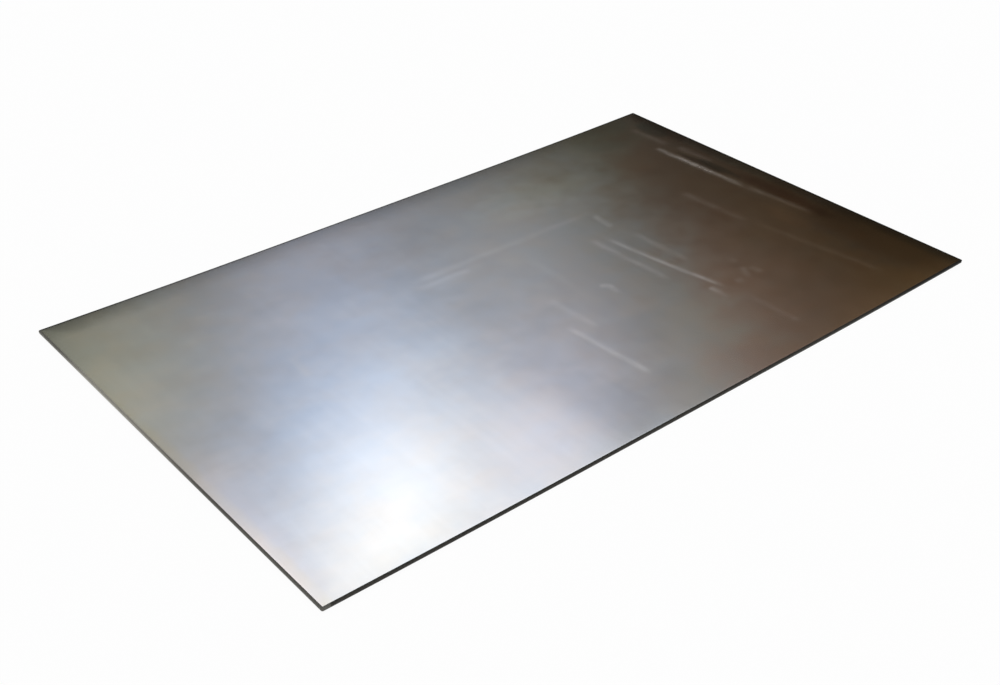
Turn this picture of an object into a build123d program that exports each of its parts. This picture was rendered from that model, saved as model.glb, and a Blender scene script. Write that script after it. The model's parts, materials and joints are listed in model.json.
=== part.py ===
"""Steel plate: one rectangular blank of mild steel, sheared on all four sides.

The blank lies as it comes to rest on a level floor. Its middle lies flat, and both short ends
stand a little off the floor because the plate keeps some of the curl of the coil it was cut from.
Every edge has the section that a shear leaves. The upper arris is drawn down into a round, below
it there is an upright land polished by the blade, and under the land the torn zone leans in to the
underside. The section runs round all four sides and both rounded pairs of corners, and it follows
the curl of the ends.

Millimetres. +X runs along the plate, +Y across it and +Z up. The origin is the centre of the
stretch of underside that touches the floor.
"""

from build123d import *
from math import degrees
import os

# Blank
LENGTH = 1000.0  # overall, between the lands of the two short ends
WIDTH = 600.0  # overall, between the lands of the two long sides
THICKNESS = 4.0
CORNER_RADIUS = 2.0  # corners are dulled by handling

# Lie of the plate on the floor
FLAT_LENGTH = 300.0  # middle stretch that touches the floor
END_LIFT = 3.2  # height of the underside at each short end

# Sheared edge, as shares of the thickness
ROLLOVER_SHARE = 0.20  # radius of the upper arris
LAND_SHARE = 0.30  # height of the upright land
CLEARANCE_SHARE = 0.07  # how far the torn zone leans in

# Extra length of the curled slab that the outline cuts away
TRIM_ALLOWANCE = 5.0

rollover = THICKNESS * ROLLOVER_SHARE
land = THICKNESS * LAND_SHARE
torn_height = THICKNESS - rollover - land
torn_lean = THICKNESS * CLEARANCE_SHARE

half_flat = FLAT_LENGTH / 2
curl_run = LENGTH / 2 - half_flat
curl_radius = (curl_run**2 + END_LIFT**2) / (2 * END_LIFT)
upper_radius = curl_radius - THICKNESS
curl_angle = degrees((curl_run + TRIM_ALLOWANCE) / upper_radius)


def curled_slab():
    """Return the slab of full thickness, flat in the middle and curled up at both ends."""
    with BuildPart() as slab:
        with BuildSketch(Plane.XZ):
            with BuildLine():
                underside = Line((0, 0), (half_flat, 0))
                under_curl = JernArc(underside @ 1, (1, 0), curl_radius, curl_angle)
                upper_side = Line((0, THICKNESS), (half_flat, THICKNESS))
                upper_curl = JernArc(upper_side @ 1, (1, 0), upper_radius, curl_angle)
                Line(under_curl @ 1, upper_curl @ 1)
                Line(underside @ 0, upper_side @ 0)
            make_face()
            mirror(about=Plane.YZ)
        extrude(amount=WIDTH, both=True)
    return slab.part


def outline_block():
    """Return the upright block whose plan is the outline of the blank."""
    height = THICKNESS + END_LIFT
    with BuildPart() as block:
        with BuildSketch(Plane.XY.offset(-height)):
            RectangleRounded(LENGTH, WIDTH, CORNER_RADIUS)
        extrude(amount=3 * height)
    return block.part


def broad_middles(part):
    """Return the flat middle faces of the underside and of the upper side."""
    level_faces = part.faces().filter_by(Axis.Z).sort_by(Axis.Z)
    return level_faces[0], level_faces[-1]


def front_arris(face):
    """Return the edge of a broad middle face that runs along the front long side."""
    return face.edges().sort_by(Axis.Y)[0]


def sheared(part):
    """Return the blank with the section of a sheared edge carried round its whole outline.

    The outline has no sharp turn, so a round or a bevel that starts on one arris runs on round the
    corners and along the curled ends until it meets itself.
    """
    upper_side = broad_middles(part)[1]
    part = fillet(front_arris(upper_side), rollover)
    underside = broad_middles(part)[0]
    return chamfer(front_arris(underside), torn_lean, torn_height, reference=underside)


blank = curled_slab() & outline_block()
steel_plate = sheared(blank)
steel_plate.label = "steel_plate"

os.makedirs("parts", exist_ok=True)
export_step(steel_plate, "parts/steel_plate.step")
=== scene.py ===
"""Dress and light the sheared blank of rolled steel plate.

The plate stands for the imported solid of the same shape. It gains the slight waves of a rolled
sheet, the soft roll of its upper arris, a torn lower edge, and the marks of handling on its upper
face. All lengths are metres in the plate's own frame: +X along it, +Y across it, +Z up.
"""
import json
import logging
import math
from dataclasses import dataclass, field
from enum import Enum, IntEnum
from typing import Any

import bmesh
import bpy
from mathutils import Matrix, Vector, noise


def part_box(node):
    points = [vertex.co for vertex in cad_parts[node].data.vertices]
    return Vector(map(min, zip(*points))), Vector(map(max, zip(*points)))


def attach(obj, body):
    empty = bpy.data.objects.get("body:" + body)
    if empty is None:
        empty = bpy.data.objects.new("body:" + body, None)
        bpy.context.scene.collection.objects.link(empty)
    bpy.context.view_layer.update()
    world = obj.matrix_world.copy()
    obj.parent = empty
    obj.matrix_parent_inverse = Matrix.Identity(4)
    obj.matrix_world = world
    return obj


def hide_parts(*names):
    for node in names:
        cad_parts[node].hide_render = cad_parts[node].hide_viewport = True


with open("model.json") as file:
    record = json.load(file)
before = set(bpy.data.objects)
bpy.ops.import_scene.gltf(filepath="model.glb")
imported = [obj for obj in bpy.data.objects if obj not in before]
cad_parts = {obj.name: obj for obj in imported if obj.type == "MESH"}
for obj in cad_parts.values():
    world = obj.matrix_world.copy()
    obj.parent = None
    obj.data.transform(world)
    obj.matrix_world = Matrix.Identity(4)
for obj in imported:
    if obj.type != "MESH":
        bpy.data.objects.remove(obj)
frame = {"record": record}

LOG = logging.getLogger("steel_plate_scene")
MM = 0.001
CLOSE = 0.01 * MM  # lengths that differ by less count as equal
ON_PLANE = 1e-7  # a vertex this near to a cutting plane lies on it
LYING = 0.5  # a face whose normal rises more than this lies, and one below it stands
Triple = tuple[float, float, float]
Colour = Triple


class Surface(IntEnum):
    """Material slots of the plate's mesh."""

    ROLLED_FACE = 0
    SHEARED_EDGE = 1


class Blend(Enum):
    """Ways in which one colour is laid over another."""

    OVER = "MIX"
    TINT = "MULTIPLY"


class NodeSheet:
    """A node tree that is filled in by short calls."""

    def __init__(self, tree: bpy.types.NodeTree) -> None:
        """Take over a tree and empty it.

        Args:
            tree: Tree of a material, a world or a node group.
        """
        self.tree = tree
        self.tree.nodes.clear()

    def add(self, kind: str, inputs: dict[str | int, Any] | None = None, **settings: Any) -> bpy.types.Node:
        """Add a node and fill its inputs.

        Args:
            kind: Blender's name for the node's type, without "ShaderNode" in front.
            inputs: Value or output socket for each input, by name or place.
            **settings: Properties of the node itself.

        Returns:
            The new node.
        """
        node = self.tree.nodes.new(kind if kind.startswith("Node") else "ShaderNode" + kind)
        for name, value in settings.items():
            setattr(node, name, value)
        self.fill(node, inputs or {})
        return node

    def fill(self, node: bpy.types.Node, inputs: dict[str | int, Any]) -> None:
        """Fill a node's inputs.

        Args:
            node: The node.
            inputs: Value or output socket for each input, by name or place.
        """
        for key, value in inputs.items():
            if isinstance(value, bpy.types.NodeSocket):
                self.tree.links.new(value, node.inputs[key])
            else:
                node.inputs[key].default_value = value

    def math(self, operation: str, *values: Any, clamp: bool = False) -> bpy.types.NodeSocket:
        """Work out a number from up to three others.

        Args:
            operation: Name of the sum.
            *values: The numbers.
            clamp: Whether to hold it between 0 and 1.

        Returns:
            The number.
        """
        inputs = dict(enumerate(values))
        return self.add("Math", inputs, operation=operation, use_clamp=clamp).outputs[0]

    def vector(self, operation: str, *values: Any) -> bpy.types.NodeSocket:
        """Work out a vector from others; a length or a dot product comes back as a number.

        Args:
            operation: Name of the sum.
            *values: The vectors.

        Returns:
            The vector or number.
        """
        node = self.add("VectorMath", dict(enumerate(values)), operation=operation)
        scalar = operation in ("LENGTH", "DOT_PRODUCT")
        return node.outputs["Value" if scalar else "Vector"]

    def scale(self, vector: Any, factor: Any) -> bpy.types.NodeSocket:
        """Multiply a vector or a light by a number."""
        return self.add("VectorMath", {0: vector, "Scale": factor}, operation="SCALE").outputs[0]

    def grey(self, level: Any) -> bpy.types.NodeSocket:
        """Make a grey of a given level."""
        return self.add("CombineXYZ", {0: level, 1: level, 2: level}).outputs[0]

    def step(
        self, value: Any, low: float, high: float, start: float = 0.0, end: float = 1.0
    ) -> bpy.types.NodeSocket:
        """Pass smoothly from one level to another while a value crosses a stretch.

        Args:
            value: Number that is read.
            low: Where the passage begins.
            high: Where it ends; it may be below the beginning.
            start: Level before the passage.
            end: Level after it.

        Returns:
            The level.
        """
        names = {"Value": value, "From Min": low, "From Max": high, "To Min": start, "To Max": end}
        return self.add("MapRange", names, interpolation_type="SMOOTHSTEP").outputs["Result"]

    def swing(self, base: Any, *swings: tuple[Any, float]) -> bpy.types.NodeSocket:
        """Let a number swing about a base.

        Args:
            base: Number that it swings about.
            *swings: Noises between 0 and 1, each with the full width of its swing.

        Returns:
            The number at each place.
        """
        level = base
        for cloud, width in swings:
            level = self.math("MULTIPLY_ADD", cloud, width, self.math("SUBTRACT", level, width / 2))
        return level

    def mix(self, factor: Any, first: Any, second: Any, blend: Blend = Blend.OVER) -> bpy.types.NodeSocket:
        """Lay a colour over another by a factor.

        Args:
            factor: How far the second colour shows.
            first: Colour below.
            second: Colour above.
            blend: Way in which it is laid.

        Returns:
            The blended colour.
        """
        colours = [(*value, 1.0) if isinstance(value, tuple) else value for value in (first, second)]
        node = self.add("Mix", data_type="RGBA", blend_type=blend.value)
        self.fill(node, {0: factor, 6: colours[0], 7: colours[1]})
        return node.outputs[2]

    def cloud(self, place: Any, size: Triple, detail: float, roughness: float) -> bpy.types.NodeSocket:
        """Make cloudy noise whose patches have a given size in metres along each axis.

        Args:
            place: Position that the noise is read at.
            size: Length of a patch along X, Y and Z.
            detail: Number of finer octaves.
            roughness: Strength of each finer octave.

        Returns:
            A number between 0 and 1 that is 0.5 on average.
        """
        scaled = self.vector("DIVIDE", place, size)
        inputs = {"Vector": scaled, "Scale": 1.0, "Detail": detail, "Roughness": roughness}
        return self.add("TexNoise", inputs).outputs["Fac"]


@dataclass(frozen=True)
class Fade:
    """A smooth passage from one level to another while a value crosses a stretch."""

    start: float
    end: float
    before: float = 0.0
    after: float = 1.0

    def level(self, sheet: NodeSheet, value: Any) -> bpy.types.NodeSocket:
        """Say how high the level is where the value has been read."""
        return sheet.step(value, self.start, self.end, self.before, self.after)


@dataclass(frozen=True)
class Pattern:
    """A cloudy pattern: the size of its patches and the width of each change that it brings about."""

    patch: Triple
    detail: float
    roughness: float
    shading: float = 0.0
    dulling: float = 0.0
    wander: float = 0.0

    def lay(self, sheet: NodeSheet, place: Any) -> bpy.types.NodeSocket:
        """Lay the pattern over the metal."""
        return sheet.cloud(place, self.patch, self.detail, self.roughness)


@dataclass(frozen=True)
class Clouds:
    """The patterns of a rolled face, once they are laid."""

    mottle: bpy.types.NodeSocket
    bloom: bpy.types.NodeSocket
    grain: bpy.types.NodeSocket
    wipe: bpy.types.NodeSocket


@dataclass(frozen=True)
class Drift:
    """A slow change over the plate, from none to full along a slanted line."""

    slant: float
    start: float
    end: float

    def level(self, sheet: NodeSheet, spot: Any, wander: Any) -> bpy.types.NodeSocket:
        """Say how far the change has gone at each place.

        Args:
            sheet: Node tree that the change belongs to.
            spot: Position on the plate, split into X, Y and Z.
            wander: Distance by which the change runs ahead at each place.

        Returns:
            A level from 0 to 1.
        """
        slanted = sheet.math("MULTIPLY_ADD", spot["Y"], -self.slant, spot["X"])
        return sheet.step(sheet.math("ADD", slanted, wander), self.start, self.end)


@dataclass(frozen=True)
class TintPatch:
    """A long soft-edged patch that tints the upper face: a tint above 1 brightens it as painted light
    (highlights and reflections), and one below 1 darkens it.
    """

    centre: tuple[float, float]
    half_size: tuple[float, float]
    tint: Colour
    strength: float
    border: tuple[float, float] = (1.2, 0.1)

    def level(self, sheet: NodeSheet, spot: Any, clouds: Clouds) -> bpy.types.NodeSocket:
        """Say how strong the patch is at each place; its border is soft and ragged.

        Args:
            sheet: Node tree that the patch belongs to.
            spot: Position on the plate, split into X, Y and Z.
            clouds: Patterns that fray the border.

        Returns:
            A level from 0 to the patch's strength.
        """
        across, along = (
            sheet.math("DIVIDE", sheet.math("SUBTRACT", spot[axis], centre), half)
            for axis, centre, half in zip("XY", self.centre, self.half_size)
        )
        away = sheet.math("MULTIPLY_ADD", across, across, sheet.math("MULTIPLY", along, along))
        frayed = sheet.math("SUBTRACT", sheet.math("ADD", clouds.mottle, clouds.bloom), 1.0)
        return sheet.step(sheet.math("ADD", away, frayed), *self.border, 0.0, self.strength)


@dataclass(frozen=True)
class Scuff:
    """A rub on the upper face, between two places on the plate; it may bow out to one side."""

    start: tuple[float, float]
    end: tuple[float, float]
    width: float
    start_strength: float
    end_strength: float
    bow: float = 0.0


@dataclass(frozen=True)
class ScuffLine:
    """The look that all scuffs share: a thin, patchy, slightly wavering line with faded tips."""

    wobble: Pattern = Pattern((0.05, 0.05, 0.05), 2.0, 0.5)
    ragged: Pattern = Pattern((0.010, 0.025, 0.05), 3.0, 0.6)
    sway: float = 4.0 * MM
    sway_start: float = -1.3 * MM
    first_tip: Fade = Fade(-0.02, 0.12)
    last_tip: Fade = Fade(1.02, 0.88)
    patchiness: Fade = Fade(0.25, 0.65, 0.5, 1.0)

    def level(self, sheet: NodeSheet, place: Any, scuffs: tuple[Scuff, ...]) -> bpy.types.NodeSocket:
        """Add up scuffs into one level of rubbed metal.

        Args:
            sheet: Node tree of the rubbed face.
            place: Position on the plate.
            scuffs: The scuffs.

        Returns:
            A level from 0 to 1.
        """
        mark = self._group()
        wobble = self.wobble.lay(sheet, place)
        ragged = self.ragged.lay(sheet, place)
        shared = {"Place": place, "Wobble": wobble, "Ragged": ragged}
        level: Any = 0.0
        for scuff in scuffs:
            own = {
                "Start": (*scuff.start, 0.0), "End": (*scuff.end, 0.0),
                "Start strength": scuff.start_strength, "End strength": scuff.end_strength,
                "Width": scuff.width, "Bow": scuff.bow,
            }
            node = sheet.add("Group")
            node.node_tree = mark
            sheet.fill(node, shared | own)
            level = sheet.math("MAXIMUM", level, node.outputs["Level"])
        return level

    def _group(self) -> bpy.types.NodeTree:
        """Make the group that draws one scuff.

        Returns:
            The group.
        """
        group = bpy.data.node_groups.new("scuff_mark", "ShaderNodeTree")
        vectors = ("Place", "Start", "End")
        numbers = ("Width", "Start strength", "End strength", "Bow", "Wobble", "Ragged")
        for name in vectors:
            group.interface.new_socket(name, in_out="INPUT", socket_type="NodeSocketVector")
        for name in numbers:
            group.interface.new_socket(name, in_out="INPUT", socket_type="NodeSocketFloat")
        group.interface.new_socket("Level", in_out="OUTPUT", socket_type="NodeSocketFloat")
        sheet = NodeSheet(group)
        given = sheet.add("NodeGroupInput").outputs
        run = sheet.vector("SUBTRACT", given["End"], given["Start"])
        gone = sheet.vector("SUBTRACT", self._swayed(sheet, given), given["Start"])
        length_squared = sheet.vector("DOT_PRODUCT", run, run)
        share = sheet.math("DIVIDE", sheet.vector("DOT_PRODUCT", gone, run), length_squared)
        held = sheet.math("MINIMUM", sheet.math("MAXIMUM", share, 0.0), 1.0)
        nearest = self._bowed(sheet, run, held, given["Bow"])
        away = sheet.vector("LENGTH", sheet.vector("SUBTRACT", gone, nearest))
        core = sheet.math("SUBTRACT", 1.0, sheet.math("DIVIDE", away, given["Width"]), clamp=True)
        core = sheet.step(core, 0.0, 1.0)
        tips = sheet.math("MULTIPLY", self.first_tip.level(sheet, share), self.last_tip.level(sheet, share))
        spread = sheet.math("SUBTRACT", given["End strength"], given["Start strength"])
        strength = sheet.math("MULTIPLY_ADD", held, spread, given["Start strength"])
        patchy = self.patchiness.level(sheet, given["Ragged"])
        shape = sheet.math("MULTIPLY", core, tips)
        level = sheet.math("MULTIPLY", shape, sheet.math("MULTIPLY", strength, patchy))
        sheet.add("NodeGroupOutput", {"Level": level})
        return group

    def _swayed(self, sheet: NodeSheet, given: Any) -> bpy.types.NodeSocket:
        """Take the height off a place and move the place a little, so that a line through it wavers.

        Args:
            sheet: Node tree of the group.
            given: Inputs of the group.

        Returns:
            The moved place.
        """
        flat = sheet.vector("MULTIPLY", given["Place"], (1.0, 1.0, 0.0))
        sway = sheet.math("MULTIPLY_ADD", given["Wobble"], self.sway, self.sway_start)
        return sheet.vector("ADD", flat, sheet.add("CombineXYZ", {0: sway, 1: sway}).outputs[0])

    @staticmethod
    def _bowed(sheet: NodeSheet, run: Any, share: Any, bow: Any) -> bpy.types.NodeSocket:
        """Find the place on a bowed line.

        Args:
            sheet: Node tree of the group.
            run: Vector from the line's start to its end.
            share: How far along the line the place is, from 0 to 1.
            bow: How far the line's middle stands out to one side.

        Returns:
            Vector from the line's start to the place.
        """
        sideways = sheet.vector("NORMALIZE", sheet.vector("CROSS_PRODUCT", (0.0, 0.0, 1.0), run))
        arch = sheet.math("MULTIPLY", share, sheet.math("SUBTRACT", 4.0, sheet.math("MULTIPLY", share, 4.0)))
        aside = sheet.scale(sideways, sheet.math("MULTIPLY", arch, bow))
        return sheet.vector("ADD", sheet.scale(run, share), aside)


@dataclass(frozen=True)
class RolledSteel:
    """Finish of the broad faces: a blurred mirror of rolled steel, darker and browner towards one end, partly
    as oxide and partly as painted dark reflection.
    """

    steel: Colour = (0.57, 0.57, 0.56)
    # Oxide colour and brown tint that darken the face towards +X: partly oxide, partly painted dark brown
    # reflection.
    oxide_and_dark_reflection: Colour = (0.288, 0.266, 0.180)
    brown: Colour = (0.900, 0.679, 0.627)
    bloom_tint: Colour = (0.90, 0.84, 0.80)
    # Painted dark reflection: a dark band along the last few millimetres of the +X end.
    painted_dark_end: Colour = (0.62, 0.60, 0.57)
    rubbed: Colour = (0.80, 0.77, 0.72)
    cool_drift: Colour = (0.972, 1.00, 1.028)
    warm_drift: Colour = (1.028, 1.00, 0.972)
    roughness: float = 0.16
    rub_cover: float = 0.8
    rub_dulling: float = 0.25
    darkening_towards_end: Drift = Drift(-0.119, 0.045, 0.450)
    browning: Drift = Drift(0.564, 0.173, 0.356)
    blooming: Fade = Fade(0.35, 0.85)
    painted_dark_band: Fade = Fade(0.492, 0.514)
    painted_dark_band_fray: float = 0.02
    mottle: Pattern = Pattern((0.11, 0.08, 0.5), 2.5, 0.5, shading=0.26, dulling=0.03, wander=0.20)
    bloom: Pattern = Pattern((0.030, 0.028, 0.5), 2.0, 0.5, shading=0.10, dulling=0.01, wander=0.06)
    grain: Pattern = Pattern((0.35, 0.0045, 0.5), 3.0, 0.6, shading=0.03, dulling=0.004)
    wipe: Pattern = Pattern((0.011, 0.16, 0.5), 2.0, 0.5, shading=0.06)
    hue: Pattern = Pattern((0.055, 0.045, 0.5), 3.0, 0.55)
    hue_change: Fade = Fade(0.25, 0.75)
    hue_offset: Triple = (3.7, 1.9, 0.0)
    upper_offset: float = 1.7
    grain_depth: float = 0.004 * MM
    scuff_depth: float = 0.05 * MM
    scuff_line: ScuffLine = field(default_factory=ScuffLine)
    # Soft patches that tint the upper face; those that brighten it are painted highlights and reflections.
    tint_patches: tuple[TintPatch, ...] = (
        TintPatch((0.464, -0.030), (0.016, 0.105), (0.58, 0.44, 0.36), 0.90),
        TintPatch((0.489, 0.085), (0.014, 0.110), (1.18, 1.42, 1.60), 0.90),
        TintPatch((0.492, -0.045), (0.012, 0.075), (1.05, 1.18, 1.38), 0.90),
        TintPatch((0.457, 0.080), (0.008, 0.045), (0.50, 0.54, 0.52), 0.90),
        TintPatch((0.449, 0.105), (0.007, 0.055), (0.58, 0.58, 0.56), 0.90),
        TintPatch((0.478, 0.232), (0.020, 0.034), (0.66, 0.76, 0.80), 0.90),
        TintPatch((0.418, -0.080), (0.020, 0.050), (1.14, 1.09, 1.04), 0.80),
        TintPatch((0.462, -0.185), (0.036, 0.140), (0.96, 0.80, 0.58), 0.80),
        TintPatch((0.500, -0.195), (0.110, 0.150), (0.68, 0.75, 0.92), 1.00),
        TintPatch((0.502, -0.220), (0.022, 0.110), (0.80, 0.87, 1.00), 0.90),
        TintPatch((0.400, 0.262), (0.060, 0.044), (0.82, 0.84, 0.80), 0.90),
        TintPatch((0.185, 0.190), (0.120, 0.048), (1.11, 1.12, 1.09), 0.90),
        TintPatch((-0.170, -0.250), (0.075, 0.095), (1.12, 1.11, 1.10), 0.90),
        TintPatch((-0.075, -0.225), (0.046, 0.105), (0.93, 0.94, 0.95), 0.90),
        TintPatch((-0.500, -0.160), (0.018, 0.320), (1.05, 1.01, 0.92), 1.00),
        TintPatch((-0.480, 0.288), (0.060, 0.026), (0.86, 0.87, 0.86), 0.90),
    )
    scuffs: tuple[Scuff, ...] = (
        Scuff((0.4365, 0.190), (0.4392, 0.098), 9.5 * MM, 0.28, 0.66),
        Scuff((0.4390, 0.112), (0.4420, 0.012), 9.5 * MM, 0.66, 0.18),
        Scuff((0.4425, 0.022), (0.4555, -0.095), 9.5 * MM, 0.25, 0.12),
        Scuff((0.4530, 0.258), (0.4575, 0.185), 11.0 * MM, 0.12, 0.15),
        Scuff((0.4635, 0.170), (0.4655, 0.102), 11.0 * MM, 0.22, 0.12),
        Scuff((0.1860, 0.040), (0.2152, -0.150), 7.5 * MM, 0.26, 0.50, -2.0 * MM),
        Scuff((0.1670, 0.050), (0.1740, -0.092), 9.5 * MM, 0.23, 0.14),
        Scuff((0.1705, -0.034), (0.1720, -0.044), 6.0 * MM, 0.24, 0.24),
        Scuff((0.2170, 0.094), (0.2135, 0.054), 8.5 * MM, 0.28, 0.28),
        Scuff((0.2255, 0.024), (0.2285, -0.074), 9.5 * MM, 0.17, 0.15, -1.5 * MM),
        Scuff((-0.0035, -0.090), (0.0060, -0.224), 8.0 * MM, 0.26, 0.25),
        Scuff((0.0215, -0.028), (0.0245, -0.114), 9.5 * MM, 0.15, 0.12),
        Scuff((0.0680, 0.058), (0.0680, -0.038), 11.0 * MM, 0.09, 0.05),
        Scuff((0.3610, 0.068), (0.3670, -0.052), 10.5 * MM, 0.17, 0.11),
        Scuff((0.3720, -0.058), (0.4000, -0.255), 9.0 * MM, 0.09, 0.10),
        Scuff((-0.0920, 0.1075), (0.2250, 0.1035), 10.0 * MM, 0.14, 0.15),
        Scuff((-0.0900, 0.0905), (-0.0050, 0.0885), 9.0 * MM, 0.13, 0.17),
        Scuff((0.1985, -0.135), (0.1990, -0.167), 9.0 * MM, 0.42, 0.12),
        Scuff((0.2700, -0.106), (0.2765, -0.115), 9.0 * MM, 0.11, 0.11),
        Scuff((0.2690, -0.127), (0.2560, -0.149), 9.0 * MM, 0.22, 0.14),
        Scuff((0.2770, -0.133), (0.2795, -0.152), 9.0 * MM, 0.14, 0.22),
        Scuff((0.2340, -0.1475), (0.2460, -0.1495), 9.0 * MM, 0.16, 0.16),
        Scuff((0.0930, -0.046), (0.1070, -0.055), 8.5 * MM, 0.30, 0.22),
        Scuff((0.1040, -0.052), (0.1010, -0.073), 8.0 * MM, 0.27, 0.17),
        Scuff((0.2210, -0.184), (0.2240, -0.260), 9.5 * MM, 0.09, 0.13),
        Scuff((-0.2950, 0.064), (-0.2990, 0.018), 9.0 * MM, 0.20, 0.10),
    )

    def material(self) -> bpy.types.Material:
        """Make the material of the broad faces.

        Returns:
            The material.
        """
        made = bpy.data.materials.new("rolled_steel_face")
        made.use_nodes = True
        sheet = NodeSheet(made.node_tree)
        seat = sheet.add("TexCoord").outputs
        upper = sheet.math("GREATER_THAN", sheet.add("SeparateXYZ", {0: seat["Normal"]}).outputs["Z"], 0.0)
        offset = sheet.add("CombineXYZ", {2: sheet.math("MULTIPLY", upper, self.upper_offset)}).outputs[0]
        place = sheet.vector("ADD", seat["Object"], offset)
        spot = sheet.add("SeparateXYZ", {0: seat["Object"]}).outputs
        patterns = (self.mottle, self.bloom, self.grain, self.wipe)
        clouds = Clouds(*(pattern.lay(sheet, place) for pattern in patterns))
        rubs = sheet.math("MULTIPLY", self.scuff_line.level(sheet, seat["Object"], self.scuffs), upper)
        colour = self._colour(sheet, spot, clouds, upper)
        colour = self._hue_drift(sheet, place, colour)
        colour = sheet.mix(sheet.math("MULTIPLY", rubs, self.rub_cover, clamp=True), colour, self.rubbed)
        dullness = self._dullness(sheet, clouds, rubs)
        relief = self._relief(sheet, clouds.grain, rubs)
        inputs = {"Base Color": colour, "Metallic": 1.0, "Roughness": dullness, "Normal": relief}
        shader = sheet.add("BsdfPrincipled", inputs)
        sheet.add("OutputMaterial", {"Surface": shader.outputs[0]})
        return made

    def _colour(self, sheet: NodeSheet, spot: Any, clouds: Clouds, upper: Any) -> bpy.types.NodeSocket:
        """Lay the darker, browner end (oxide and painted dark reflection), the painted dark band at that end,
        the tinting patches and grain over the bare steel.

        Args:
            sheet: Node tree of the face.
            spot: Position on the plate, split into X, Y and Z.
            clouds: Patterns of the face.
            upper: 1 on the upper face and 0 on the underside.

        Returns:
            The colour.
        """
        mottle, bloom = clouds.mottle, clouds.bloom
        wander = sheet.swing(0.0, (mottle, self.mottle.wander), (bloom, self.bloom.wander))
        # Darkening and browning towards +X: partly oxide, partly painted dark reflection.
        darkened_towards_end = self.darkening_towards_end.level(sheet, spot, wander)
        browned = self.browning.level(sheet, spot, wander)
        colour = sheet.mix(darkened_towards_end, self.steel, self.oxide_and_dark_reflection)
        colour = sheet.mix(browned, colour, self.brown, Blend.TINT)
        cloudy = sheet.math("MULTIPLY", darkened_towards_end, self.blooming.level(sheet, bloom))
        colour = sheet.mix(cloudy, colour, self.bloom_tint, Blend.TINT)
        # Painted dark reflection: darken the last few millimetres of the +X end.
        frayed = sheet.math("MULTIPLY_ADD", sheet.math("ADD", mottle, bloom), self.painted_dark_band_fray, spot["X"])
        colour = sheet.mix(self.painted_dark_band.level(sheet, frayed), colour, self.painted_dark_end, Blend.TINT)
        # Tint patches: the brightening ones are painted highlights and reflections.
        for patch_mark in self.tint_patches:
            level = sheet.math("MULTIPLY", patch_mark.level(sheet, spot, clouds), upper)
            colour = sheet.mix(level, colour, patch_mark.tint, Blend.TINT)
        shade = sheet.swing(
            1.0, (mottle, self.mottle.shading), (bloom, self.bloom.shading),
            (clouds.grain, self.grain.shading), (clouds.wipe, self.wipe.shading),
        )
        return sheet.mix(1.0, colour, sheet.grey(shade), Blend.TINT)

    def _hue_drift(self, sheet: NodeSheet, place: Any, colour: Any) -> bpy.types.NodeSocket:
        """Let the colour wander a little between warm and cool in patches.

        Args:
            sheet: Node tree of the face.
            place: Position that the patches are read at.
            colour: Colour so far.

        Returns:
            The colour.
        """
        aside = sheet.vector("ADD", place, self.hue_offset)
        patches = self.hue_change.level(sheet, self.hue.lay(sheet, aside))
        drift = sheet.mix(patches, self.cool_drift, self.warm_drift)
        return sheet.mix(1.0, colour, drift, Blend.TINT)

    def _dullness(self, sheet: NodeSheet, clouds: Clouds, rubs: Any) -> bpy.types.NodeSocket:
        """Work out the roughness: rubbed metal is duller than the rolled skin.

        Args:
            sheet: Node tree of the face.
            clouds: Patterns of the face.
            rubs: Level of rubbed metal.

        Returns:
            The roughness.
        """
        level = sheet.swing(
            self.roughness, (clouds.mottle, self.mottle.dulling), (clouds.bloom, self.bloom.dulling),
            (clouds.grain, self.grain.dulling),
        )
        return sheet.math("MULTIPLY_ADD", rubs, self.rub_dulling, level, clamp=True)

    def _relief(self, sheet: NodeSheet, grain: Any, rubs: Any) -> bpy.types.NodeSocket:
        """Turn grain and rubs into a slight relief.

        Args:
            sheet: Node tree of the face.
            grain: The rolling grain.
            rubs: Level of rubbed metal.

        Returns:
            The normal.
        """
        rolled = sheet.add("Bump", {"Strength": 1.0, "Distance": self.grain_depth, "Height": grain})
        worn = {"Strength": 1.0, "Distance": self.scuff_depth, "Height": rubs, "Normal": rolled.outputs[0]}
        return sheet.add("Bump", worn, invert=True).outputs[0]


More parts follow.
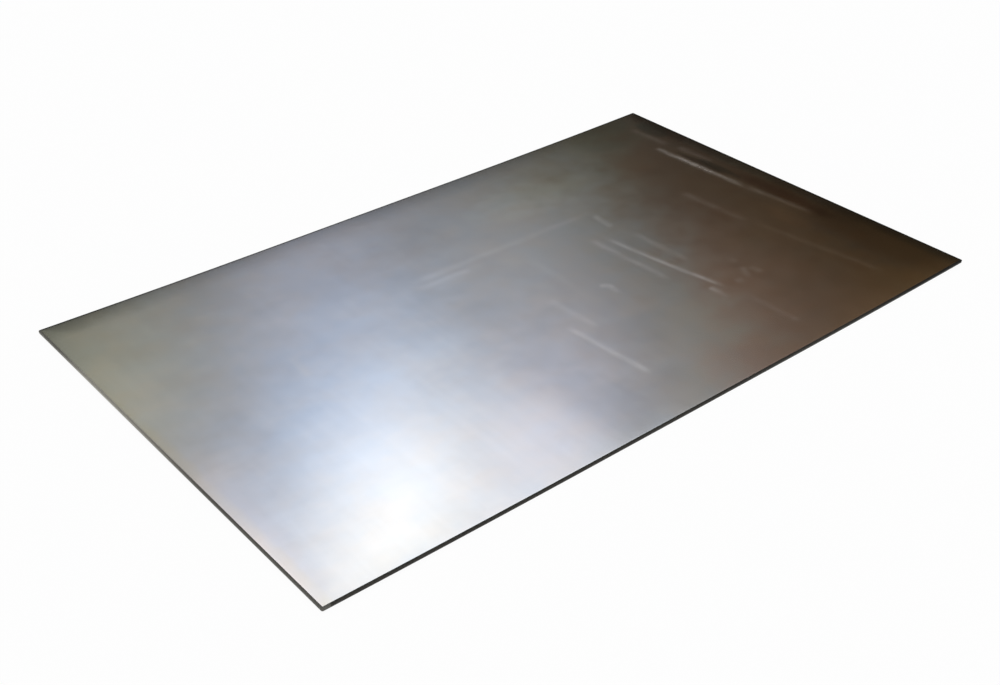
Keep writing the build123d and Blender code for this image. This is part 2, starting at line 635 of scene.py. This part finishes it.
@dataclass(frozen=True)
class ShearedSteel:
    """Finish of the cut edges: near-black metal with scores and torn pits, darker than the dark grey cut
    steel as painted dark reflection, and a painted highlight on one short land.
    """

    # Land and torn zone are near black: dark grey cut steel, darkened further as painted dark reflection.
    land: Colour = (0.056, 0.054, 0.047)
    torn: Colour = (0.034, 0.033, 0.029)
    # Painted highlight: a pale band on the -X short land.
    painted_glint: Colour = (0.58, 0.56, 0.50)
    scores: Pattern = Pattern((0.0011, 0.0011, 0.02), 2.0, 0.6)
    pits: Pattern = Pattern((0.0025, 0.0025, 0.0012), 3.0, 0.7, dulling=0.25)
    tearing: Fade = Fade(0.35, 0.65)
    # Painted shade: the edges darken to half between X = 0.22 and 0.46.
    dimming: Fade = Fade(0.22, 0.46, 1.0, 0.50)
    glint_end: float = -0.49
    glint_rise: Fade = Fade(-0.12, 0.12, 0.15, 0.60)
    glint_fall: Fade = Fade(0.17, 0.26, 1.0, 0.42)
    roughness: float = 0.45
    score_depth: float = 0.03 * MM

    def material(self) -> bpy.types.Material:
        """Make the material of the cut edges.

        Returns:
            The material.
        """
        made = bpy.data.materials.new("sheared_steel_edge")
        made.use_nodes = True
        sheet = NodeSheet(made.node_tree)
        place = sheet.add("TexCoord").outputs["Object"]
        spot = sheet.add("SeparateXYZ", {0: place}).outputs
        scores = self.scores.lay(sheet, place)
        pits = self.pits.lay(sheet, place)
        colour = sheet.mix(self.tearing.level(sheet, pits), self.land, self.torn)
        # Painted shade: darker towards the +X end.
        dimming = sheet.grey(self.dimming.level(sheet, spot["X"]))
        colour = sheet.mix(1.0, colour, dimming, Blend.TINT)
        # Painted highlight on the -X short land.
        colour = sheet.mix(self._glint(sheet, spot), colour, self.painted_glint)
        dullness = sheet.math("MULTIPLY_ADD", pits, self.pits.dulling, self.roughness)
        height = sheet.math("ADD", scores, pits)
        relief = sheet.add("Bump", {"Strength": 1.0, "Distance": self.score_depth, "Height": height})
        inputs = {"Base Color": colour, "Metallic": 1.0, "Roughness": dullness, "Normal": relief.outputs[0]}
        shader = sheet.add("BsdfPrincipled", inputs)
        sheet.add("OutputMaterial", {"Surface": shader.outputs[0]})
        return made

    def _glint(self, sheet: NodeSheet, spot: Any) -> bpy.types.NodeSocket:
        """Say how strongly the painted highlight shows on the edge; it lies only on one short end.

        Args:
            sheet: Node tree of the edge.
            spot: Position on the plate, split into X, Y and Z.

        Returns:
            A level from 0 to 1.
        """
        rise = self.glint_rise.level(sheet, spot["Y"])
        fall = self.glint_fall.level(sheet, spot["Y"])
        at_end = sheet.math("LESS_THAN", spot["X"], self.glint_end)
        return sheet.math("MULTIPLY", at_end, sheet.math("MULTIPLY", rise, fall))


@dataclass(frozen=True)
class PlateSizes:
    """Sizes of the plate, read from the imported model."""

    length: float
    width: float
    thickness: float
    end_lift: float

    @classmethod
    def from_frame(cls, node: str) -> "PlateSizes":
        """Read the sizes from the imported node's box and the upper face's mount.

        Args:
            node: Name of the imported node.

        Returns:
            The sizes.
        """
        low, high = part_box(node)
        mounts = {mount["name"]: mount for mount in frame["record"]["mounts"]}
        thickness = mounts["upper_face"]["pos_m"][2]
        return cls(high.x - low.x, high.y - low.y, thickness, high.z - low.z - thickness)


@dataclass(frozen=True)
class TextureMap:
    """Where the sides of the plate lie on its texture map, in shares of the map."""

    margin: float = 0.015
    span: float = 0.97
    upper_row: float = 0.41
    edge_row: float = 0.366
    edge_row_step: float = 0.010
    edge_scale: float = 0.9
    underside_row: float = 0.003
    underside_height: float = 0.355
    edge_tilt: float = 0.7

    def place(self, spot: Vector, tilt: Vector, sizes: PlateSizes) -> tuple[float, float]:
        """Find the place on the map of a face's corner.

        Args:
            spot: The corner.
            tilt: Normal of the face.
            sizes: Sizes of the plate.

        Returns:
            The place on the map.
        """
        across = spot.y + sizes.width / 2
        if tilt.z > self.edge_tilt:
            right = self.margin + self.span * (spot.x / sizes.length + 0.5)
            return right, self.upper_row + self.span * across / sizes.length
        if tilt.z < -self.edge_tilt:
            scale = self.underside_height / sizes.width
            return self.margin + scale * (spot.x + sizes.length / 2), self.underside_row + scale * across
        short = abs(tilt.x) > abs(tilt.y)
        row = 2 * short + ((tilt.x if short else tilt.y) > 0)
        run = spot.y / sizes.width if short else spot.x / sizes.length
        up = self.edge_row + self.edge_row_step * row + self.edge_scale * spot.z
        return self.margin + self.span * (run + 0.5), up


@dataclass
class SteelPlate:
    """The sheared blank, with its curl, its waves and the section of its edges."""

    sizes: PlateSizes
    node: str = "steel_plate"
    grid_step: float = 5 * MM
    flat_length: float = 0.300
    corner_radius: float = 2 * MM
    corner_segments: int = 5
    rollover_share: float = 0.20
    rollover_segments: int = 4
    torn_share: float = 0.50
    lean_share: float = 0.07
    strip_widths: tuple[float, ...] = (2.5 * MM, 3.4 * MM)
    # Painted dark reflection: upper-face faces this near the outline take the near-black edge finish.
    dark_margin: float = 2.5 * MM
    sag_width: float = 40 * MM
    sag_slope: float = 0.018
    roll_width: float = 5 * MM
    roll_slope: float = 0.025
    wave_height: float = 0.45 * MM
    wave_length: float = 0.28
    wave_offset: Triple = (3.1, 7.7, 0.0)
    tear_depth: float = 0.08 * MM
    tears_per_metre: float = 400.0
    least_outward: float = 0.2
    cut_tilt: float = 0.985
    crease: float = math.radians(35.0)
    texture_map: TextureMap = field(default_factory=TextureMap)
    face_finish: RolledSteel = field(default_factory=RolledSteel)
    edge_finish: ShearedSteel = field(default_factory=ShearedSteel)

    def make(self) -> bpy.types.Object:
        """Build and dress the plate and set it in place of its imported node.

        Returns:
            The finished piece.
        """
        form = self._blank()
        self._round_corners(form)
        self._strip_upper_face(form)
        self._roll_arris(form)
        self._tear_lower_edge(form)
        self._curl_and_wave(form)
        bmesh.ops.recalc_face_normals(form, faces=form.faces[:])
        self._mark_surfaces(form)
        self._unwrap(form)
        mesh = bpy.data.meshes.new(self.node + "_dressed")
        form.to_mesh(mesh)
        form.free()
        piece = bpy.data.objects.new(self.node + "_dressed", mesh)
        bpy.context.scene.collection.objects.link(piece)
        self._dress(piece)
        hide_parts(self.node)
        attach(piece, "root")
        return piece

    def _blank(self) -> bmesh.types.BMesh:
        """Start from a grid of the plate's plan and give it its thickness.

        Returns:
            The plate as a level slab.
        """
        form = bmesh.new()
        along = round(self.sizes.length / self.grid_step)
        across = round(self.sizes.width / self.grid_step)
        bmesh.ops.create_grid(form, x_segments=along, y_segments=across, size=0.5)
        bmesh.ops.scale(form, vec=(self.sizes.length, self.sizes.width, 1.0), verts=form.verts[:])
        lifted = bmesh.ops.extrude_face_region(form, geom=form.faces[:], use_keep_orig=True)
        upper = [part for part in lifted["geom"] if isinstance(part, bmesh.types.BMVert)]
        bmesh.ops.translate(form, vec=(0.0, 0.0, self.sizes.thickness), verts=upper)
        bmesh.ops.recalc_face_normals(form, faces=form.faces[:])
        return form

    def _round_corners(self, form: bmesh.types.BMesh) -> None:
        """Dull the four corners of the plan.

        Args:
            form: The plate, still level.
        """
        corners = [edge for edge in form.edges if all(self._at_corner(vert.co) for vert in edge.verts)]
        bmesh.ops.bevel(
            form, geom=corners, offset=self.corner_radius, segments=self.corner_segments, profile=0.5,
            affect="EDGES", material=-1,
        )

    def _at_corner(self, spot: Vector) -> bool:
        """Say whether a place is at a corner of the plan.

        Args:
            spot: The place.

        Returns:
            True at a corner.
        """
        short_of_end = abs(abs(spot.x) - self.sizes.length / 2)
        short_of_side = abs(abs(spot.y) - self.sizes.width / 2)
        return max(short_of_end, short_of_side) < CLOSE

    def _upper_rim(self, form: bmesh.types.BMesh) -> list[bmesh.types.BMEdge]:
        """Find the closed run of edges between the upper face and the upright sides.

        Args:
            form: The plate, still level.

        Returns:
            The edges of the run.
        """
        form.normal_update()
        height = self.sizes.thickness
        level = [edge for edge in form.edges if all(abs(vert.co.z - height) < CLOSE for vert in edge.verts)]
        return [edge for edge in level if any(abs(face.normal.z) < LYING for face in edge.link_faces)]

    @staticmethod
    def _cut(form: bmesh.types.BMesh, faces: list[bmesh.types.BMFace], place: Vector, normal: Vector) -> None:
        """Cut some faces along a plane.

        Args:
            form: The plate.
            faces: Faces that may be cut.
            place: A place on the plane.
            normal: Normal of the plane.
        """
        touched = dict.fromkeys(part for face in faces for part in (*face.edges, *face.verts))
        geometry = [*faces, *touched]
        bmesh.ops.bisect_plane(form, geom=geometry, plane_co=place, plane_no=normal, dist=ON_PLANE)

    def _strip_upper_face(self, form: bmesh.types.BMesh) -> None:
        """Cut narrow strips of faces along the four sides, so that the slopes to the rim are smooth.

        Args:
            form: The plate, still level.
        """
        form.normal_update()
        half_length, half_width = self.sizes.length / 2, self.sizes.width / 2
        ends = [(Vector((side, 0.0, 0.0)), half_length) for side in (-1.0, 1.0)]
        sides = [(Vector((0.0, side, 0.0)), half_width) for side in (-1.0, 1.0)]
        for width in self.strip_widths:
            for outward, reach in ends + sides:
                top = [face for face in form.faces if face.normal.z > LYING]
                self._cut(form, top, outward * (reach - width), outward)

    def _edge_drop(self, spot: Vector) -> float:
        """Say how far the upper face has sunk at a place, from its distance to the outline.

        Args:
            spot: A place on the upper face.

        Returns:
            The drop: a long faint sag, and the start of the sheared edge's roll.
        """
        inside = min(self.sizes.length / 2 - abs(spot.x), self.sizes.width / 2 - abs(spot.y))
        sag = max(0.0, self.sag_width - inside) ** 2 / (2 * self.sag_width) * self.sag_slope
        roll = max(0.0, self.roll_width - inside) ** 2 / (2 * self.roll_width) * self.roll_slope
        return sag + roll

    def _roll_arris(self, form: bmesh.types.BMesh) -> None:
        """Draw the upper arris down: faint slopes first, then a round.

        Args:
            form: The plate, still level.
        """
        rim = self._upper_rim(form)
        for vert in form.verts:
            if vert.co.z > self.sizes.thickness / 2:
                vert.co.z -= self._edge_drop(vert.co)
        bmesh.ops.bevel(
            form, geom=rim, offset=self.sizes.thickness * self.rollover_share,
            segments=self.rollover_segments, profile=0.5, affect="EDGES", material=-1,
        )

    def _tear_lower_edge(self, form: bmesh.types.BMesh) -> None:
        """Lean the torn zone in to the underside and roughen it.

        Args:
            form: The plate, still level.
        """
        torn_height = self.sizes.thickness * self.torn_share
        for height in (torn_height, torn_height / 2):
            standing = [face for face in form.faces if abs(face.normal.z) < LYING]
            self._cut(form, standing, Vector((0.0, 0.0, height)), Vector((0.0, 0.0, 1.0)))
        form.normal_update()
        lean = self.sizes.thickness * self.lean_share
        for vert in form.verts:
            outward = Vector((vert.normal.x, vert.normal.y, 0.0))
            if vert.co.z > torn_height - CLOSE or outward.length < self.least_outward:
                continue
            depth = lean * (1.0 - vert.co.z / torn_height)
            if vert.co.z > CLOSE:
                depth += self.tear_depth * (0.5 + 0.5 * noise.noise(vert.co * self.tears_per_metre))
            vert.co -= outward.normalized() * depth

    def _curl_and_wave(self, form: bmesh.types.BMesh) -> None:
        """Lift both ends along arcs and add the slow waves of a rolled sheet.

        Args:
            form: The plate, still level.
        """
        half_flat = self.flat_length / 2
        half_length = self.sizes.length / 2
        run = half_length - half_flat
        radius = (run**2 + self.sizes.end_lift**2) / (2 * self.sizes.end_lift)
        for vert in form.verts:
            beyond = max(0.0, abs(vert.co.x) - half_flat)
            curl = radius - math.sqrt(radius**2 - beyond**2)
            spot = Vector((vert.co.x, vert.co.y, 0.0)) / self.wave_length
            swell = 0.5 + 0.5 * noise.noise(spot + Vector(self.wave_offset))
            fade = 1.0 - (vert.co.x / half_length) ** 2
            vert.co.z += curl + self.wave_height * swell * fade

    def _mark_surfaces(self, form: bmesh.types.BMesh) -> None:
        """Give each face its finish and its shading.

        Args:
            form: The plate.
        """
        form.normal_update()
        for face in form.faces:
            # The rounded arris and the dark margin take the near-black edge finish as painted dark reflection
            # on the rim.
            cut = abs(face.normal.z) < self.cut_tilt or self._on_dark_margin(face)
            face.material_index = Surface.SHEARED_EDGE if cut else Surface.ROLLED_FACE
            face.smooth = True
        for edge in form.edges:
            if len(edge.link_faces) == 2:
                edge.smooth = edge.calc_face_angle(0.0) < self.crease

    def _on_dark_margin(self, face: bmesh.types.BMFace) -> bool:
        """Say whether a face lies on the dark margin, a painted dark reflection that runs along all sides but
        the far long one.

        Args:
            face: The face.

        Returns:
            True on the dark margin.
        """
        middle = face.calc_center_median()
        inside = min(self.sizes.length / 2 - abs(middle.x), self.sizes.width / 2 + middle.y)
        return face.normal.z > 0.0 and inside < self.dark_margin

    def _unwrap(self, form: bmesh.types.BMesh) -> None:
        """Lay the upper face, the four edges and the underside out on one map.

        Args:
            form: The plate.
        """
        layout = form.loops.layers.uv.new("OFBake")
        for face in form.faces:
            for loop in face.loops:
                loop[layout].uv = self.texture_map.place(loop.vert.co, face.normal, self.sizes)

    def _dress(self, piece: bpy.types.Object) -> None:
        """Give the piece its two finishes, in the order of their slots."""
        piece.data.materials.append(self.face_finish.material())
        piece.data.materials.append(self.edge_finish.material())


@dataclass(frozen=True)
class SoftPanel:
    """A blurred bright area of the studio around the plate, seen from the plate's centre.

    The angles are degrees. The azimuth turns from +Y towards +X.
    """

    name: str
    azimuth: float
    elevation: float
    half_width: float
    half_height: float
    light: Colour

    def shine(self, sheet: NodeSheet, azimuth: Any, elevation: Any) -> bpy.types.NodeSocket:
        """Say how much light the panel gives from each direction.

        Args:
            sheet: Node tree of the world.
            azimuth: Azimuth of the direction in degrees.
            elevation: Elevation of the direction in degrees.

        Returns:
            The light.
        """
        turned = sheet.math("WRAP", sheet.math("SUBTRACT", azimuth, self.azimuth), 180.0, -180.0)
        sideways = sheet.math("DIVIDE", turned, self.half_width)
        upward = sheet.math("DIVIDE", sheet.math("SUBTRACT", elevation, self.elevation), self.half_height)
        away = sheet.math("MULTIPLY_ADD", sideways, sideways, sheet.math("MULTIPLY", upward, upward))
        return sheet.scale(self.light, sheet.math("EXPONENT", sheet.math("MULTIPLY", away, -1.0)))


@dataclass(frozen=True)
class Studio:
    """Pale floor and soft surrounding light."""

    floor_size: float = 80.0
    floor_colour: Colour = (0.90, 0.90, 0.90)
    floor_glow: float = 0.94
    room: Colour = (0.0058, 0.0056, 0.0041)
    ceiling: Colour = (1.30, 1.30, 1.35)
    ceiling_edge: Fade = Fade(46.5, 67.5)
    cove_edge: Fade = Fade(6.0, 12.0, 1.0, 0.0)
    panels: tuple[SoftPanel, ...] = (
        SoftPanel("window", 43.9, 37.2, 4.3, 4.0, (0.891, 0.872, 1.042)),
        SoftPanel("tall window", 34.4, 36.9, 5.4, 4.0, (0.660, 0.925, 1.446)),
        SoftPanel("left screen", 25.9, 46.0, 4.0, 5.7, (2.001, 1.831, 2.107)),
        SoftPanel("side lamp", 50.2, 46.7, 21.1, 5.7, (2.245, 2.376, 2.586)),
        SoftPanel("low window", 31.2, 30.3, 5.5, 4.0, (0.518, 0.520, 0.600)),
        SoftPanel("low screen", 41.7, 28.9, 6.3, 4.0, (0.425, 0.431, 0.433)),
        SoftPanel("low side screen", 51.5, 32.5, 4.0, 4.0, (0.290, 0.259, 0.210)),
        SoftPanel("far left screen", 22.0, 34.2, 5.3, 4.1, (0.642, 0.632, 0.481)),
        SoftPanel("window lamp", 36.3, 39.8, 4.5, 4.0, (1.538, 1.370, 1.058)),
        SoftPanel("far side screen", 62.1, 35.0, 7.2, 9.3, (0.228, 0.179, 0.093)),
        SoftPanel("left wall", -25.0, 42.0, 22.0, 12.0, (0.95, 0.92, 0.80)),
        SoftPanel("side wall", -75.0, 25.0, 38.0, 30.0, (0.90, 0.90, 0.88)),
        SoftPanel("rear wall", -150.0, 30.0, 50.0, 30.0, (1.00, 1.00, 1.00)),
        SoftPanel("right wall", 140.0, 25.0, 38.0, 30.0, (0.90, 0.90, 0.90)),
    )

    def make(self) -> None:
        """Lay the floor and light the room."""
        self._floor()
        self._room()

    def _floor(self) -> None:
        """Lay a pale floor that shows as near white and keeps the plate's shadow."""
        form = bmesh.new()
        bmesh.ops.create_grid(form, x_segments=1, y_segments=1, size=self.floor_size / 2)
        mesh = bpy.data.meshes.new("floor")
        form.to_mesh(mesh)
        form.free()
        mesh.materials.append(self._floor_paint())
        floor = bpy.data.objects.new("floor", mesh)
        bpy.context.scene.collection.objects.link(floor)

    def _floor_paint(self) -> bpy.types.Material:
        """Make the floor's paint, which glows where it is seen or mirrored.

        Returns:
            The material.
        """
        made = bpy.data.materials.new("pale_floor")
        made.use_nodes = True
        sheet = NodeSheet(made.node_tree)
        path = sheet.add("LightPath").outputs
        seen = sheet.math("MAXIMUM", path["Is Camera Ray"], path["Is Glossy Ray"])
        seen = sheet.math("MAXIMUM", seen, path["Is Transmission Ray"])
        paint = sheet.add("BsdfDiffuse", {"Color": (*self.floor_colour, 1.0)})
        glow = sheet.add("Emission", {"Color": (1.0, 1.0, 1.0, 1.0), "Strength": 1.0})
        share = sheet.math("MULTIPLY", seen, self.floor_glow)
        mixed = sheet.add("MixShader", {0: share, 1: paint.outputs[0], 2: glow.outputs[0]})
        sheet.add("OutputMaterial", {"Surface": mixed.outputs[0]})
        return made

    def _room(self) -> None:
        """Fill the world with a dim room, a pale ceiling, a pale cove at the horizon and the panels."""
        world = bpy.data.worlds.new("studio")
        bpy.context.scene.world = world
        world.use_nodes = True
        sheet = NodeSheet(world.node_tree)
        aim = sheet.add("SeparateXYZ", {0: sheet.add("TexCoord").outputs["Generated"]}).outputs
        azimuth = sheet.math("DEGREES", sheet.math("ARCTAN2", aim["X"], aim["Y"]))
        elevation = sheet.math("DEGREES", sheet.math("ARCSINE", aim["Z"]))
        overhead = sheet.scale(self.ceiling, self.ceiling_edge.level(sheet, elevation))
        light = sheet.vector("ADD", overhead, self.room)
        light = sheet.vector("ADD", light, sheet.grey(self.cove_edge.level(sheet, elevation)))
        for panel in self.panels:
            light = sheet.vector("ADD", light, panel.shine(sheet, azimuth, elevation))
        glow = sheet.add("Background", {"Color": light, "Strength": 1.0})
        sheet.add("OutputWorld", {"Surface": glow.outputs[0]})


@dataclass(frozen=True)
class PhotoCamera:
    """Camera at the photograph's viewing angle."""

    azimuth: float = -39.23
    elevation: float = 33.515
    distance: float = 1.6082
    target: Triple = (-0.1157, -0.0355, 0.0)
    lens: float = 48.86
    sensor_width: float = 36.0
    shift: tuple[float, float] = (0.0345, 0.0004)

    def make(self) -> bpy.types.Object:
        """Set the camera up and make it the scene's own.

        Returns:
            The camera.
        """
        data = bpy.data.cameras.new("photo_camera")
        data.lens = self.lens
        data.sensor_width = self.sensor_width
        data.sensor_fit = "HORIZONTAL"
        data.shift_x, data.shift_y = self.shift
        camera = bpy.data.objects.new("photo_camera", data)
        bpy.context.scene.collection.objects.link(camera)
        turn, rise = math.radians(self.azimuth), math.radians(self.elevation)
        back = Vector((math.sin(turn) * math.cos(rise), -math.cos(turn) * math.cos(rise), math.sin(rise)))
        camera.location = Vector(self.target) + back * self.distance
        camera.rotation_euler = back.to_track_quat("Z", "Y").to_euler()
        bpy.context.scene.camera = camera
        return camera


def main() -> None:
    """Build the plate, the studio and the camera, and log the plate's face count."""
    logging.basicConfig(level=logging.INFO, format="%(name)s: %(message)s")
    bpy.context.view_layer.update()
    plate = SteelPlate(PlateSizes.from_frame("steel_plate"))
    piece = plate.make()
    LOG.info("plate: %s with %d faces", piece.name, len(piece.data.polygons))
    Studio().make()
    LOG.info("studio: floor and surrounding light")
    camera = PhotoCamera().make()
    LOG.info("camera: %s", camera.name)
    bpy.context.scene.view_settings.view_transform = "Standard"


if __name__ == "__main__":
    main()
